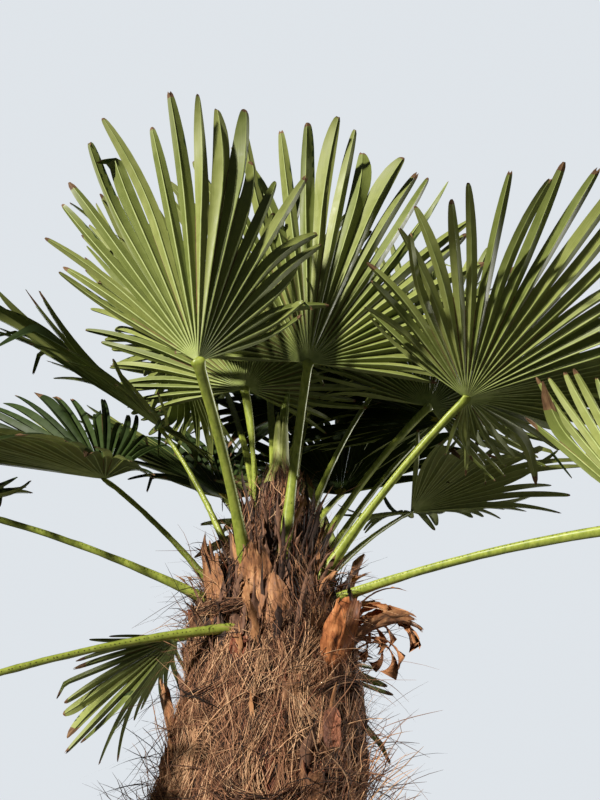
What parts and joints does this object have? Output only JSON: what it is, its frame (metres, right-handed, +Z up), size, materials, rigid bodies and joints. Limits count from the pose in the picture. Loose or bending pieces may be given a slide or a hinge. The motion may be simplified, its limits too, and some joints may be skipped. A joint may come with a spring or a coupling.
{
  "type": "windmill palm",
  "caption": "Windmill palm with a fibre-coated trunk, old leaf bases, dried sheaths and a round crown of stiff fan fronds on long stalks, cut flat at ground level.",
  "frame": {"origin": "middle of the flat cut under the trunk, at ground level", "axes": "+Z up along the trunk; the picture looks along +Y, with +X to its right"},
  "size_m": [2.019, 1.5251, 2.6611],
  "materials": {
    "trunk_fibre": "matted dry fibre",
    "frond": "satin leaf",
    "young_leaf": "satin leaf",
    "leaf_base": "dry matt",
    "dry_sheath": "dry matt"
  },
  "bodies": {
    "root": {"frond_back_centre": "frond", "frond_back_right": "frond", "frond_back_upper": "frond", "frond_back_upper_left": "frond", "frond_back_upper_right": "frond", "frond_centre_right": "frond", "frond_front_centre": "frond", "frond_front_left": "frond", "frond_front_right": "frond", "frond_left_back": "frond", "frond_left_far": "frond", "frond_left_hanging": "frond", "frond_left_inner": "frond", "frond_left_inner_back": "frond", "frond_left_low": "frond", "frond_left_near": "frond", "frond_left_upper": "frond", "frond_right_back": "frond", "frond_right_back_low": "frond", "frond_right_hanging": "frond", "frond_right_inner": "frond", "frond_right_inner_back": "frond", "frond_right_near": "frond", "leaf_base_front_flat": "leaf_base", "leaf_base_front_left_dark": "leaf_base", "leaf_base_front_low": "leaf_base", "leaf_base_front_right_cut": "leaf_base", "leaf_base_left_cut": "leaf_base", "leaf_base_left_low": "leaf_base", "leaf_base_spiral_1": "leaf_base", "leaf_base_spiral_2": "leaf_base", "leaf_base_spiral_3": "leaf_base", "leaf_base_spiral_4": "leaf_base", "leaf_base_spiral_5": "leaf_base", "leaf_base_spiral_6": "leaf_base", "leaf_base_spiral_7": "leaf_base", "leaf_base_spiral_8": "leaf_base", "leaf_base_spiral_9": "leaf_base", "sheath_back_left_dry": "dry_sheath", "sheath_back_low_dry": "dry_sheath", "sheath_back_right_dry": "dry_sheath", "sheath_front_bulge": "dry_sheath", "sheath_front_curled": "dry_sheath", "sheath_left_low_dry": "dry_sheath", "sheath_left_ragged": "dry_sheath", "sheath_right_ragged": "dry_sheath", "sheath_right_ribbon": "dry_sheath", "sheath_right_wide": "dry_sheath", "trunk": "trunk_fibre", "young_leaf": "young_leaf"}
  },
  "joints": []
}
